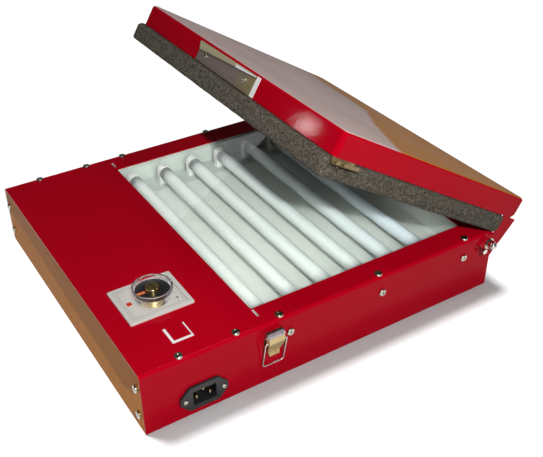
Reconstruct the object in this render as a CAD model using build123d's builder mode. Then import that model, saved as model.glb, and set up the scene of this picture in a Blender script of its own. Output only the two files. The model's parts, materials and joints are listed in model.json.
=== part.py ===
"""Screen printing exposure unit: a lamp box with a glass top and a hinged lid with a foam pad.

The origin is the middle of the lamp box's underside, +X to the right, +Y to the back, +Z up.
Sizes are in millimetres. The lid is drawn standing open on its stop pins.
"""

from build123d import *
from math import acos, cos, hypot, radians, sin
import os

os.makedirs("parts", exist_ok=True)

# ---- Overall sizes of the lamp box ----
base_length = 416.0
base_width = 372.0
base_height = 71.0
sheet = 1.2
bend_radius = 3.6
seat_gap = 0.1
margin = 1.0
hole_length = 20.0
long_hole = 40.0

half_length = base_length / 2
half_width = base_width / 2
deck_under = base_height - sheet

# ---- Deck opening and glass ----
opening_left = 128.5
opening_right = 24.0
opening_front = 27.4
opening_back = 31.4
slit_width = 1.4
slit_setbacks = (15.0, 25.0)
glass_thickness = 4.0
glass_lap = 10.5

# ---- Ends of the box ----
panel_recess = 0.0
panel_sheet = 1.2
tab_width = 18.0
tab_leg = 14.4
tab_low = 6.0
tab_top = 66.0
flange_width = 14.0
flange_inset = 4.0

# ---- Rails under the deck, as distances from the wall ----
rail_sheet = 1.2
rail_top_leg = 14.8
rail_ledge = 12.2
rail_drop = 24.0
rail_inset = 30.0

# ---- Lamps and reflector ----
lamp_count = 6
lamp_radius = 8.0
lamp_wall = 0.7
lamp_pitch = 40.4
lamp_first = 146.5
lamp_height = 50.0
lamp_front_setback = 28.2
lamp_back_setback = 41.4
cap_length = 10.5
cap_rim = 0.05
pin_radius = 1.2
pin_length = 7.0
pin_spacing = 4.8
tray_left = 128.0
tray_right = 18.0
tray_setback = 18.0
tray_floor = 34.0
tray_sheet = 1.0
tray_gap = 0.2
holder_width = 15.4
holder_depth = 9.0
holder_top = 58.8
holder_round = 7.4
support_width = 30.0
support_places = (170.0, 340.0)
support_setback = 36.0

# ---- Control space ----
divider_place = 124.0
divider_margin = 3.0
divider_foot = 12.0
ballast_width = 28.0
ballast_height = 22.0
ballast_places = (24.0, 60.0, 96.0)
ballast_start = 190.0
ballast_back_setback = 32.0
ballast_round = 2.0
block_size = (60.0, 16.0, 12.0)
block_place = (62.0, 146.0)
block_ways = 6
block_pitch = 10.0
block_hole = 2.0
block_hole_depth = 3.0
wire_radius = 1.1
wire_gap = 0.8
wire_bend = 9.0
wire_high = 18.0
wire_low = 8.0
wire_turns = (60.0, 85.0)
inlet_wires = ((6.0, 5.0), (-6.0, -15.0))
timer_wire = (18.0, 10.0, 12.0)
timer_wire_end = (25.0, 9.0)
ballast_wire = (-5.0, 24.0)
ballast_wire_end = (4.0, 10.0)

# ---- Mains inlet ----
inlet_place = (60.4, 21.5)
inlet_flange = (50.0, 28.0)
inlet_middle = 30.0
inlet_tip = 7.0
inlet_plate = 3.0
inlet_body = (27.0, 20.0, 20.0)
inlet_recess = (24.0, 16.5, 15.0)
inlet_clearance = 0.3
inlet_round = 0.8
contact_size = (2.0, 12.0, 4.0)
contact_round = 0.5
contact_places = ((-7.0, -2.6), (7.0, -2.6), (0.0, 5.0))
inlet_screw_spacing = 40.0
inlet_screw_head = (2.4, 1.3)
inlet_screw_length = 8.0

# ---- Timer ----
timer_place = (57.8, 91.5)
timer_plate_offset = (-2.3, 1.5)
timer_plate_size = (67.0, 57.0)
timer_plate_thickness = 1.6
timer_border = 5.0
timer_border_rise = 0.6
timer_corner = 1.8
timer_plate_round = 0.8
timer_body_round = 3.0
timer_body_size = (50.0, 45.0, 34.0)
timer_cutout_gap = 1.0
knob_radius = 20.0
knob_height = 13.5
knob_wall = 2.0
knob_well_radius = 17.4
knob_floor = 8.0
knob_base_inset = 3.0
knob_belly = (0.6, 6.1)
knob_lip_round = 0.9
knob_gap = 0.4
disc_thickness = 0.8
disc_gap = 0.1
hub_radius = 7.0
hub_height = 13.2
hub_slot = 2.4
hub_slot_depth = 4.4
hub_round = 1.0
stem_radius = 3.0
stem_length = 10.0
stem_clearance = 0.06
indicator_size = 4.6
indicator_height = 0.7
pointer_size = (8.4, 2.6, 0.8)
indicator_offset = (-24.3, 2.0)
mark_thickness = 0.4
mark_place = (44.5, 23.0)
mark_size = (21.5, 22.0)
mark_bar = 2.6
mark_thin_bar = 1.2

# ---- Screws ----
screw_radius = 1.5
screw_hole = 1.6
screw_thread_hole = 1.55
screw_head_radius = 4.1
screw_head_height = 2.4
screw_length = 6.0
screw_crown = 1.3
recess_width = 0.8
recess_depth = 1.0
deck_screw_places = (41.1, 99.5, 146.5, 264.0, 379.0)
deck_screw_setback = 5.5
wall_screw_places = (155.4, 266.2, 375.6)
wall_screw_height = 51.0
panel_screw_setback = 9.8
panel_screw_heights = (18.0, 50.0)
bottom_screw_places = (60.0, 160.0, 260.0, 356.0)
bottom_screw_setback = 8.0
countersink_radius = 2.8

# ---- Lid ----
open_angle = 31.6
lid_length = 288.7
lid_overhang = 3.3
pan_height = 23.1
cover_thickness = 0.8
cover_inset = 2.2
lid_corner_radius = 5.5
lid_fold_radius = 2.0
lid_notch = (8.6, 8.2)
pivot_setback = 16.8
pivot_drop = 34.1
pivot_from_right = 6.0
pivot_height = 58.0
board_thickness = 18.0
board_side_gap = 1.7
board_ear_gap = 1.0
board_corner = 5.5

# ---- Foam pad under the lid ----
foam_gap = 0.3
foam_free_overhang = 8.5
foam_side_overhang = 2.2
foam_end = 18.3
foam_end_chamfer = 3.4
foam_end_corner = 1.0
foam_plug_step = 1.0
foam_plug_inset = 4.0
foam_corner = 6.0
foam_top_round = 3.0
foam_bottom_round = 1.6
dent_clearance = 1.9
dent_depth = 2.6

# ---- Hinge ears, bolts and stop pins ----
ear_thickness = 1.5
ear_top = 16.0
ear_left = 18.0
ear_inner = 6.5
ear_reach = 4.0
ear_top_drop = 0.5
ear_heels = (2.7, 4.7)
ear_back_drop = 4.0
ear_back_slope = (3.4, 8.3)
ear_corner = 2.0
bolt_radius = 3.0
bolt_clearance = 0.06
bolt_head_radius = 5.2
bolt_head_height = 3.0
bolt_head_room = 1.0
bolt_past_lid = 5.0
running_gap = 0.05
washer_radius = 6.5
washer_thickness = 1.0
nut_radius = 5.0
nut_height = 5.0
dome_radius = 4.2
dome_foot = 0.6
dome_rise = 0.4
stop_radius = 1.75
stop_offset = (16.5, 1.5)
stop_reach = 11.0
stop_head_radius = 2.8
stop_head_height = 2.5
stop_clearance = 0.05
stop_nut_radius = 3.6
stop_nut_height = 3.0

# ---- Draw latches, as distances out from the wall ----
latch_along_lid = 291.8
latch_plate = (19.0, 46.5, 62.0)
latch_sheet = 1.0
latch_pivot = (5.5, 60.0)
bail_pivot = (8.0, 54.5)
lever_width = 17.0
lever_face_line = (
    (1.5, 3.9),
    (3.4, 2.4),
    (4.4, -3.0),
    (4.35, -6.6),
    (-2.2, -21.5),
    (-0.6, -25.0),
)
lever_flange_line = (
    (-2.4, -1.2),
    (-2.0, 1.6),
    (-0.4, 3.0),
    (1.2, 3.5),
    (3.0, 2.4),
    (3.7, -3.0),
    (3.6, -8.0),
    (1.7, -12.0),
    (0.2, -9.5),
)
lever_taper = (13.0, 26.0, 3.2)
latch_side_gap = 0.1
ear_plate_reach = 8.0
ear_plate_heights = (56.0, 64.0)
ear_plate_chamfer = 1.5
lever_pin_radius = 1.0
lever_pin_fit = 0.02
lever_pin_head = (1.7, 0.8)
lever_clearance = 0.05
bail_wire = 0.8
bail_half_width = 11.7
bail_lean = 11.5
bail_inward = 6.4
bail_corner = 3.5
bail_eye_bend = 1.8
rivet_radius = 1.5
rivet_head = (2.3, 0.8)
rivet_places = ((-4.5, 50.0), (4.5, 50.0))

# ---- Catches under the rims, as distances out from the wall and up from the rim's edge ----
catch_far = 288.2
catch_width = 28.7
catch_sheet = 1.0
catch_top = 9.0
catch_curl = 3.2
catch_centre = -2.2
catch_tip = 1.0
catch_notch = (1.8, 3.8)
catch_notch_inner = 4.3
bail_seat = (6.4, -4.28)
pocket_side = 3.0
pocket_depth = 10.0
pocket_inward = 0.6

# ---- Handle on the free rim ----
handle_ends = (138.4, 246.6)
handle_sheet = 1.2
handle_low = 0.5
handle_fold = (18.9, 11.2)
handle_top = 21.4
handle_fold_angle = 16.0
handle_screw_places = ((153.5, 11.5), (231.0, 8.9))
handle_screw_head = (3.3, 2.0)
handle_screw_length = 12.0
handle_mark_start = 131.6
handle_mark_width = 6.4
handle_mark_end = 175.0
handle_mark_top = 21.4
handle_mark_inset = 0.4


def from_left(distance):
    """X of a place measured from the box's left end."""
    return distance - half_length


def from_front(distance):
    """Y of a place measured from the box's front."""
    return distance - half_width


def out(sign, distance):
    """Y of a place that far outside the front wall (sign -1) or the back wall (sign 1)."""
    return sign * (half_width + distance)


def block(low, high, mode=Mode.ADD):
    """A box between two corners, in the frame of the open builder."""
    size = [top - bottom for bottom, top in zip(low, high)]
    middle = [(top + bottom) / 2 for bottom, top in zip(low, high)]
    with Locations(tuple(middle)):
        Box(*size, mode=mode)


def wall_block(sign, x_range, out_range, z_range, mode=Mode.ADD):
    """A box beside the front or the back wall, from distances outside that wall."""
    sides = sorted(out(sign, distance) for distance in out_range)
    block((x_range[0], sides[0], z_range[0]), (x_range[1], sides[1], z_range[1]), mode)


def save(builder, name):
    """Label a finished piece and write its file."""
    builder.part.label = name
    export_step(builder.part, f"parts/{name}.step")


def pan_screw(head_radius, head_height, shank_radius, length):
    """A pan-head screw with a cross recess, its head above z = 0 and its shank below."""
    with BuildPart() as screw:
        Cylinder(head_radius, head_height, align=(Align.CENTER, Align.CENTER, Align.MIN))
        fillet(screw.edges().group_by(Axis.Z)[-1], min(screw_crown, head_height * 0.55))
        for turn in (0, 90):
            with Locations(Location((0, 0, head_height), (0, 0, turn))):
                Box(head_radius * 1.1, recess_width, recess_depth * 2, mode=Mode.SUBTRACT)
        Cylinder(shank_radius, length, align=(Align.CENTER, Align.CENTER, Align.MAX))
    return screw.part


def cut_bolt_room(sign):
    """Room inside the front or back wall for the hinge bolt's head."""
    depth = bolt_head_height + bolt_head_room
    with Locations((pivot_x, out(sign, -sheet - depth / 2), pivot_height)):
        Cylinder(bolt_head_radius + bolt_head_room, depth, rotation=(90, 0, 0), mode=Mode.SUBTRACT)


def side_plane(y):
    """The lid's side view at this Y: local x runs along the lid and local y up from it."""
    return Plane(origin=lid_corner + Vector(0, y, 0), x_dir=along, z_dir=(0, 1, 0))


# The lid's frame: x from the hinge end to the free end, z up, local y towards the front.
lean = radians(open_angle)
along = Vector(-cos(lean), 0, sin(lean))
above = Vector(sin(lean), 0, cos(lean))
pivot_x = half_length - pivot_from_right
pivot = Vector(pivot_x, 0, pivot_height)
lid_corner = pivot - along * pivot_setback + above * pivot_drop
lid = Plane(origin=lid_corner, x_dir=along, z_dir=above)
lid_half = half_width + lid_overhang
closed_rim = pivot_height + pivot_drop
foam_depth = closed_rim - base_height - foam_gap

screw = pan_screw(screw_head_radius, screw_head_height, screw_radius, screw_length)
deck_screw_points = [
    (from_left(x), out(sign, -deck_screw_setback), base_height)
    for x in deck_screw_places
    for sign in (-1, 1)
]
wall_screw_points = [
    (from_left(x), out(sign, 0), wall_screw_height) for x in wall_screw_places for sign in (-1, 1)
]
bottom_screw_points = [
    (from_left(x), out(sign, -bottom_screw_setback), 0)
    for x in bottom_screw_places
    for sign in (-1, 1)
]
stop_x = pivot_x - stop_offset[0]
stop_z = pivot_height + stop_offset[1]
inlet_centre = (from_left(inlet_place[0]), -half_width, inlet_place[1])
timer_centre = (from_left(timer_place[0]), from_front(timer_place[1]))
plate_centre = (timer_centre[0] + timer_plate_offset[0], timer_centre[1] + timer_plate_offset[1])
latch_x = pivot_x + pivot_setback - latch_along_lid

# ======== The lamp box ========

# Housing wrap: front wall, deck and back wall folded from one sheet, with corner tabs inside.
with BuildPart() as housing_wrap:
    with BuildSketch(Plane.YZ.offset(-half_length)):
        with Locations((0, base_height / 2)):
            outer = Rectangle(base_width, base_height)
        fillet(outer.vertices().group_by(Axis.Y)[-1], bend_radius)
    extrude(amount=base_length)
    with BuildSketch(Plane.YZ.offset(-half_length)):
        with Locations((0, deck_under / 2)):
            inner = Rectangle(base_width - 2 * sheet, deck_under)
        fillet(inner.vertices().group_by(Axis.Y)[-1], bend_radius - sheet)
    extrude(amount=base_length, mode=Mode.SUBTRACT)
    flange_ends = (-half_length + flange_inset, half_length - flange_inset)
    for sign in (-1, 1):
        wall_block(sign, flange_ends, (-flange_width, -sheet), (sheet, 2 * sheet))
        for end in (-1, 1):
            near = end * (half_length - panel_recess - panel_sheet)
            face = sorted((near, near - end * sheet))
            leg = sorted((near, near - end * tab_leg))
            wall_block(sign, face, (-tab_width, -sheet), (tab_low, tab_top))
            wall_block(sign, leg, (-2 * sheet, -sheet), (tab_low, tab_top - rail_drop))
    opening_low = (from_left(opening_left), from_front(opening_front), deck_under - margin)
    opening_high = (half_length - opening_right, half_width - opening_back, base_height + margin)
    block(opening_low, opening_high, Mode.SUBTRACT)
    for sign in (-1, 1):
        slit = (-slit_setbacks[1], -slit_setbacks[0])
        slit_x = (from_left(opening_left), from_left(opening_left) + slit_width)
        wall_block(sign, slit_x, slit, (deck_under - margin, base_height + margin), Mode.SUBTRACT)
    block(
        (
            timer_centre[0] - timer_body_size[0] / 2 - timer_cutout_gap,
            timer_centre[1] - timer_body_size[1] / 2 - timer_cutout_gap,
            deck_under - margin,
        ),
        (
            timer_centre[0] + timer_body_size[0] / 2 + timer_cutout_gap,
            timer_centre[1] + timer_body_size[1] / 2 + timer_cutout_gap,
            base_height + margin,
        ),
        Mode.SUBTRACT,
    )
    with Locations(inlet_centre):
        Box(
            inlet_body[0] + 2 * inlet_clearance,
            4 * sheet,
            inlet_body[1] + 2 * inlet_clearance,
            mode=Mode.SUBTRACT,
        )
    with Locations(*deck_screw_points):
        Cylinder(screw_hole, 4 * sheet, mode=Mode.SUBTRACT)
    with Locations(*wall_screw_points):
        Cylinder(screw_hole, 4 * sheet, rotation=(90, 0, 0), mode=Mode.SUBTRACT)
    inlet_screw_points = [
        (inlet_centre[0] + side * inlet_screw_spacing / 2, -half_width, inlet_centre[2])
        for side in (-1, 1)
    ]
    with Locations(*inlet_screw_points):
        Cylinder(screw_hole, 4 * sheet, rotation=(90, 0, 0), mode=Mode.SUBTRACT)
    for sign in (-1, 1):
        with Locations((pivot_x, out(sign, 0), pivot_height)):
            Cylinder(bolt_radius + bolt_clearance, 4 * sheet, rotation=(90, 0, 0), mode=Mode.SUBTRACT)
        with Locations((stop_x, out(sign, 0), stop_z)):
            Cylinder(stop_radius + bolt_clearance, 4 * sheet, rotation=(90, 0, 0), mode=Mode.SUBTRACT)
        with Locations(*[(latch_x + across, out(sign, 0), up) for across, up in rivet_places]):
            Cylinder(rivet_radius, 4 * sheet, rotation=(90, 0, 0), mode=Mode.SUBTRACT)
    panel_points = [
        (end * (half_length - panel_recess), out(sign, -panel_screw_setback), height)
        for end in (-1, 1)
        for sign in (-1, 1)
        for height in panel_screw_heights
    ]
    with Locations(*panel_points):
        Cylinder(screw_thread_hole, hole_length, rotation=(0, 90, 0), mode=Mode.SUBTRACT)
    with Locations(*[(x, y, 2 * sheet) for x, y, _ in bottom_screw_points]):
        Cylinder(screw_thread_hole, 4 * sheet, mode=Mode.SUBTRACT)
    for sign in (-1, 1):
        cut_bolt_room(sign)
save(housing_wrap, "housing_wrap")

# Bottom plate: lies under the wrap's bottom flanges, between its walls and the end panels.
plate_end = half_length - panel_recess - panel_sheet
with BuildPart() as bottom_plate:
    plate_side = half_width - sheet - seat_gap
    block((-plate_end, -plate_side, 0), (plate_end, plate_side, sheet))
    with Locations(*[(x, y, sheet / 2) for x, y, _ in bottom_screw_points]):
        Cone(countersink_radius + seat_gap, screw_hole, sheet, mode=Mode.SUBTRACT)
save(bottom_plate, "bottom_plate")

# End panels: set a little inside the wrap's ends and screwed to its corner tabs.
for name, end in (("left_end_panel", -1), ("right_end_panel", 1)):
    start = min(end * (half_length - panel_recess), end * plate_end)
    with BuildPart() as end_panel:
        with BuildSketch(Plane.YZ.offset(start)):
            with Locations((0, deck_under / 2)):
                face = Rectangle(base_width - 2 * sheet - 2 * seat_gap, deck_under)
            fillet(face.vertices().group_by(Axis.Y)[-1], bend_radius - sheet + seat_gap)
        extrude(amount=panel_sheet)
        with Locations(*[point for point in panel_points if point[0] * end > 0]):
            Cylinder(screw_hole, hole_length, rotation=(0, 90, 0), mode=Mode.SUBTRACT)
        for sign in (-1, 1):
            cut_bolt_room(sign)
    save(end_panel, name)

# Rails under the deck, front and back: a leg down the wall and a ledge that the glass lies on.
ledge_top = deck_under - glass_thickness
with BuildPart() as glass_rails:
    rail_x = (-half_length + rail_inset, half_length - rail_inset)
    step = sheet + rail_top_leg
    for sign in (-1, 1):
        rail_foot = deck_under - rail_drop
        wall_block(sign, rail_x, (-sheet - rail_sheet, -sheet), (rail_foot, deck_under))
        wall_block(sign, rail_x, (-step, -sheet), (deck_under - rail_sheet, deck_under))
        wall_block(sign, rail_x, (-step, -step + rail_sheet), (ledge_top - rail_sheet, deck_under))
        ledge = (-step - rail_ledge + rail_sheet, -step + rail_sheet)
        wall_block(sign, rail_x, ledge, (ledge_top - rail_sheet, ledge_top))
        top_edges = glass_rails.edges().filter_by(Axis.X).group_by(Axis.Z)[-1]
        outer_edge = top_edges.sort_by(lambda edge: -sign * edge.center().Y)[0]
        fillet(outer_edge, bend_radius - sheet + seat_gap)
    with Locations(*[(x, y, deck_under) for x, y, _ in deck_screw_points]):
        Cylinder(screw_thread_hole, 4 * sheet, mode=Mode.SUBTRACT)
    with Locations(*[(x, y * (1 - 2 * sheet / base_width), z) for x, y, z in wall_screw_points]):
        Cylinder(screw_thread_hole, 4 * sheet, rotation=(90, 0, 0), mode=Mode.SUBTRACT)
    for sign in (-1, 1):
        with Locations(*[(latch_x + across, out(sign, 0), up) for across, up in rivet_places]):
            Cylinder(rivet_radius, 6 * sheet, rotation=(90, 0, 0), mode=Mode.SUBTRACT)
save(glass_rails, "glass_rails")

# Glass: lies on the rails' ledges, just under the deck.
with BuildPart() as glass_sheet:
    glass_side = half_width - step - seat_gap
    glass_left = from_left(opening_left - glass_lap)
    glass_right = half_length - opening_right + glass_lap
    block((glass_left, -glass_side, ledge_top), (glass_right, glass_side, deck_under))
save(glass_sheet, "glass_sheet")

# Reflector tray: a white pan around the lamps, standing on two channels.
tray_x = (from_left(tray_left), half_length - tray_right)
tray_y = half_width - tray_setback
tray_top = ledge_top - rail_sheet - tray_gap
with BuildPart() as reflector_tray:
    block((tray_x[0], -tray_y, tray_floor), (tray_x[1], tray_y, tray_top))
    block(
        (tray_x[0] + tray_sheet, -tray_y + tray_sheet, tray_floor + tray_sheet),
        (tray_x[1] - tray_sheet, tray_y - tray_sheet, tray_top + margin),
        Mode.SUBTRACT,
    )
save(reflector_tray, "reflector_tray")

with BuildPart() as tray_supports:
    for place in support_places:
        x = from_left(place)
        half_support = support_width / 2
        half_support_length = half_width - support_setback
        low = (x - half_support, -half_support_length, sheet)
        high = (x + half_support, half_support_length, tray_floor)
        block(low, high)
        block(
            (low[0] + sheet, low[1] - margin, low[2] - margin),
            (high[0] - sheet, high[1] + margin, high[2] - sheet),
            Mode.SUBTRACT,
        )
save(tray_supports, "tray_supports")

# Lamps: glass tubes, with a metal cap and two pins at each end, in holders on the tray.
lamp_front_end = lamp_front_setback
lamp_back_end = base_width - lamp_back_setback
lamp_length = lamp_back_end - lamp_front_end
lamp_ends = ((lamp_front_end, 1), (lamp_back_end, -1))
lamp_x = [from_left(lamp_first + lamp_pitch * number) for number in range(lamp_count)]
for number, x in enumerate(lamp_x, start=1):
    with BuildPart() as lamp:
        with BuildSketch(Plane.XZ.offset(-from_front(lamp_back_end - cap_length))):
            with Locations((x, lamp_height)):
                Circle(lamp_radius)
                Circle(lamp_radius - lamp_wall, mode=Mode.SUBTRACT)
        extrude(amount=lamp_length - 2 * cap_length)
    save(lamp, f"lamp_{number}")

with BuildPart() as lamp_caps:
    for end, inward in lamp_ends:
        for x in lamp_x:
            with Locations((x, from_front(end + inward * cap_length / 2), lamp_height)):
                Cylinder(lamp_radius + cap_rim, cap_length, rotation=(90, 0, 0))
            for side in (-1, 1):
                pin_middle = from_front(end - inward * pin_length / 2)
                with Locations((x + side * pin_spacing / 2, pin_middle, lamp_height)):
                    Cylinder(pin_radius, pin_length, rotation=(90, 0, 0))
save(lamp_caps, "lamp_caps")

with BuildPart() as lampholders:
    for end, inward in lamp_ends:
        face = end - inward * seat_gap
        sides = sorted((from_front(face), from_front(face - inward * holder_depth)))
        for x in lamp_x:
            with BuildSketch(Plane.XZ.offset(-sides[1])):
                with Locations((x, (tray_floor + tray_sheet + holder_top) / 2)):
                    shape = Rectangle(holder_width, holder_top - tray_floor - tray_sheet)
                fillet(shape.vertices().group_by(Axis.Y)[-1], holder_round)
            extrude(amount=holder_depth)
            for side in (-1, 1):
                hole_middle = from_front(face - inward * pin_length / 2)
                hole_depth = pin_length + 2 * seat_gap
                with Locations((x + side * pin_spacing / 2, hole_middle, lamp_height)):
                    Cylinder(pin_radius + seat_gap, hole_depth, rotation=(90, 0, 0), mode=Mode.SUBTRACT)
save(lampholders, "lampholders")

# Divider between the control space and the lamp space, with a foot on the bottom plate.
with BuildPart() as control_divider:
    divider_x = from_left(divider_place)
    divider_y = half_width - divider_margin
    divider_top = ledge_top - rail_sheet - seat_gap
    foot_y = half_width - flange_width - seat_gap
    block((divider_x, -divider_y, 2 * sheet + seat_gap), (divider_x + sheet, divider_y, divider_top))
    block((divider_x, -foot_y, sheet), (divider_x + sheet, foot_y, 3 * sheet))
    block((divider_x - divider_foot, -foot_y, sheet), (divider_x, foot_y, 2 * sheet))
save(control_divider, "control_divider")

# Ballasts, terminal block and wiring on the bottom plate.
with BuildPart() as ballasts:
    for place in ballast_places:
        x = from_left(place)
        y = from_front(ballast_start)
        low = (x - ballast_width / 2, y, sheet)
        high = (x + ballast_width / 2, half_width - ballast_back_setback, sheet + ballast_height)
        block(low, high)
    fillet(ballasts.edges().filter_by(Axis.Y).group_by(Axis.Z)[-1], ballast_round)
save(ballasts, "ballasts")

block_x = from_left(block_place[0])
block_y = from_front(block_place[1])
block_top = sheet + block_size[2]
with BuildPart() as terminal_block:
    with Locations((block_x, block_y, sheet)):
        Box(*block_size, align=(Align.CENTER, Align.CENTER, Align.MIN))
    with Locations((block_x, block_y, block_top)):
        with GridLocations(block_pitch, block_pitch, block_ways, 1):
            Cylinder(block_hole, 2 * block_hole_depth, mode=Mode.SUBTRACT)
save(terminal_block, "terminal_block")

inlet_back = -half_width + inlet_body[2] + wire_gap
timer_low = deck_under - timer_body_size[2] - wire_gap
block_front = block_y - block_size[1] / 2 - wire_gap
block_back = block_y + block_size[1] / 2 + wire_gap
wire_routes = [
    (
        (inlet_centre[0] + start, inlet_back, wire_high),
        (inlet_centre[0] + start, from_front(wire_turns[0]), wire_high),
        (block_x + end, from_front(wire_turns[1]), wire_low),
        (block_x + end, block_front, wire_low),
    )
    for start, end in inlet_wires
]
timer_wire_x = timer_centre[0] + timer_wire[0]
timer_wire_y = timer_centre[1] + timer_wire[1]
wire_routes.append(
    (
        (timer_wire_x, timer_wire_y, timer_low),
        (timer_wire_x, timer_wire_y, timer_wire[2]),
        (block_x + timer_wire_end[0], block_front, timer_wire_end[1]),
    )
)
ballast_x = from_left(ballast_places[1]) + ballast_wire_end[0]
wire_routes.append(
    (
        (block_x + ballast_wire[0], block_back, wire_low),
        (block_x + ballast_wire[0], block_y + ballast_wire[1], wire_low),
        (ballast_x, from_front(ballast_start) - wire_gap, ballast_wire_end[1]),
    )
)
with BuildPart() as wiring:
    for route in wire_routes:
        with BuildLine() as path:
            FilletPolyline(*route, radius=wire_bend)
        with BuildSketch(Plane(origin=path.wire() @ 0, z_dir=path.wire() % 0)):
            Circle(wire_radius)
        sweep(path=path.wire())
save(wiring, "wiring")

# Mains inlet: a flanged body through the front wall, a recess and three contacts.
with BuildPart() as inlet:
    half_flange = inlet_flange[0] / 2
    half_tall = inlet_flange[1] / 2
    half_middle = inlet_middle / 2
    with BuildSketch(Plane.XZ.offset(half_width)):
        with Locations((inlet_centre[0], inlet_centre[2])):
            Rectangle(inlet_flange[0], inlet_tip)
            Rectangle(inlet_middle, inlet_flange[1])
        for side in (-1, 1):
            with BuildLine():
                Polyline(
                    (inlet_centre[0] + side * half_middle, inlet_centre[2] - half_tall),
                    (inlet_centre[0] + side * half_flange, inlet_centre[2] - inlet_tip / 2),
                    (inlet_centre[0] + side * half_flange, inlet_centre[2] + inlet_tip / 2),
                    (inlet_centre[0] + side * half_middle, inlet_centre[2] + half_tall),
                    close=True,
                )
            make_face()
    extrude(amount=inlet_plate)
    front_edges = inlet.edges().group_by(Axis.Y)[0]
    fillet(front_edges, inlet_round)
    with Locations(inlet_centre):
        Box(*[inlet_body[i] for i in (0, 2, 1)], align=(Align.CENTER, Align.MIN, Align.CENTER))
    recess_face = (inlet_centre[0], -half_width - inlet_plate, inlet_centre[2])
    with Locations(recess_face):
        Box(
            inlet_recess[0],
            inlet_recess[2],
            inlet_recess[1],
            align=(Align.CENTER, Align.MIN, Align.CENTER),
            mode=Mode.SUBTRACT,
        )
    with Locations(*inlet_screw_points):
        Cylinder(screw_hole, 4 * inlet_plate, rotation=(90, 0, 0), mode=Mode.SUBTRACT)
save(inlet, "inlet_body")

with BuildPart() as inlet_pins:
    recess_floor = -half_width - inlet_plate + inlet_recess[2]
    for dx, dz in contact_places:
        with Locations((inlet_centre[0] + dx, recess_floor, inlet_centre[2] + dz)):
            Box(*contact_size, align=(Align.CENTER, Align.MAX, Align.CENTER))
    fillet(inlet_pins.edges().group_by(Axis.Y)[0], contact_round)
save(inlet_pins, "inlet_pins")

# ======== Timer ========

plate_top = base_height + timer_plate_thickness
with BuildPart() as timer_plate:
    with BuildSketch(Plane.XY.offset(base_height)):
        with Locations(plate_centre):
            RectangleRounded(*timer_plate_size, timer_corner)
    extrude(amount=timer_plate_thickness + timer_border_rise)
    fillet(timer_plate.edges().group_by(Axis.Z)[-1], timer_plate_round)
    with BuildSketch(Plane.XY.offset(plate_top)):
        with Locations(plate_centre):
            RectangleRounded(
                timer_plate_size[0] - 2 * timer_border,
                timer_plate_size[1] - 2 * timer_border,
                timer_corner / 2,
            )
    extrude(amount=timer_border_rise + margin, mode=Mode.SUBTRACT)
    with Locations((*timer_centre, base_height)):
        Cylinder(stem_radius + stem_clearance, hole_length, mode=Mode.SUBTRACT)
save(timer_plate, "timer_plate")

with BuildPart() as timer_body:
    with Locations((*timer_centre, base_height)):
        Box(
            timer_body_size[0],
            timer_body_size[1],
            timer_body_size[2] + sheet,
            align=(Align.CENTER, Align.CENTER, Align.MAX),
        )
    fillet(timer_body.edges().filter_by(Axis.Z), timer_body_round)
    with Locations((*timer_centre, base_height)):
        Cylinder(stem_radius + stem_clearance, hole_length, mode=Mode.SUBTRACT)
save(timer_body, "timer_body")

with BuildPart() as timer_indicator:
    indicator_x = timer_centre[0] + indicator_offset[0]
    indicator_y = timer_centre[1] + indicator_offset[1]
    with Locations((indicator_x, indicator_y, plate_top)):
        Box(
            indicator_size,
            indicator_size,
            indicator_height,
            align=(Align.CENTER, Align.CENTER, Align.MIN),
        )
save(timer_indicator, "timer_indicator")

# Knob: a clear cup round a brass hub that turns on the timer's stem, with a dark disc in its well.
knob_base = plate_top + knob_gap
with BuildPart() as timer_knob:
    with BuildSketch(Plane.XZ) as profile:
        with BuildLine():
            Polyline(
                (hub_radius, knob_floor),
                (hub_radius, 0),
                (knob_radius - knob_base_inset, 0),
                (knob_radius - knob_belly[0], knob_belly[1]),
                (knob_radius, knob_height),
                (knob_radius - knob_wall, knob_height),
                (knob_well_radius, knob_floor),
                close=True,
            )
        make_face()
        fillet(profile.vertices().group_by(Axis.Y)[-1], knob_lip_round)
    revolve(axis=Axis.Z)
timer_knob.part = timer_knob.part.moved(Location((*timer_centre, knob_base)))
save(timer_knob, "timer_knob")

with BuildPart() as timer_hub:
    with Locations((*timer_centre, knob_base)):
        Cylinder(hub_radius, hub_height, align=(Align.CENTER, Align.CENTER, Align.MIN))
    fillet(timer_hub.edges().group_by(Axis.Z)[-1], hub_round)
    with Locations((*timer_centre, knob_base + hub_height)):
        Box(hub_slot, 3 * hub_radius, 2 * hub_slot_depth, mode=Mode.SUBTRACT)
    with Locations((*timer_centre, knob_base)):
        Cylinder(stem_radius, stem_length, align=(Align.CENTER, Align.CENTER, Align.MAX))
save(timer_hub, "timer_hub")

with BuildPart() as timer_disc:
    with BuildSketch(Plane.XY.offset(knob_base + knob_floor)):
        with Locations(timer_centre):
            Circle(knob_well_radius - disc_gap)
            Circle(hub_radius + disc_gap, mode=Mode.SUBTRACT)
    extrude(amount=disc_thickness)
save(timer_disc, "timer_disc")

with BuildPart() as timer_pointer:
    pointer_x = timer_centre[0] - (hub_radius + knob_well_radius) / 2
    with Locations((pointer_x, timer_centre[1], knob_base + knob_floor + disc_thickness)):
        Box(*pointer_size, align=(Align.CENTER, Align.CENTER, Align.MIN))
save(timer_pointer, "timer_pointer")

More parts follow.
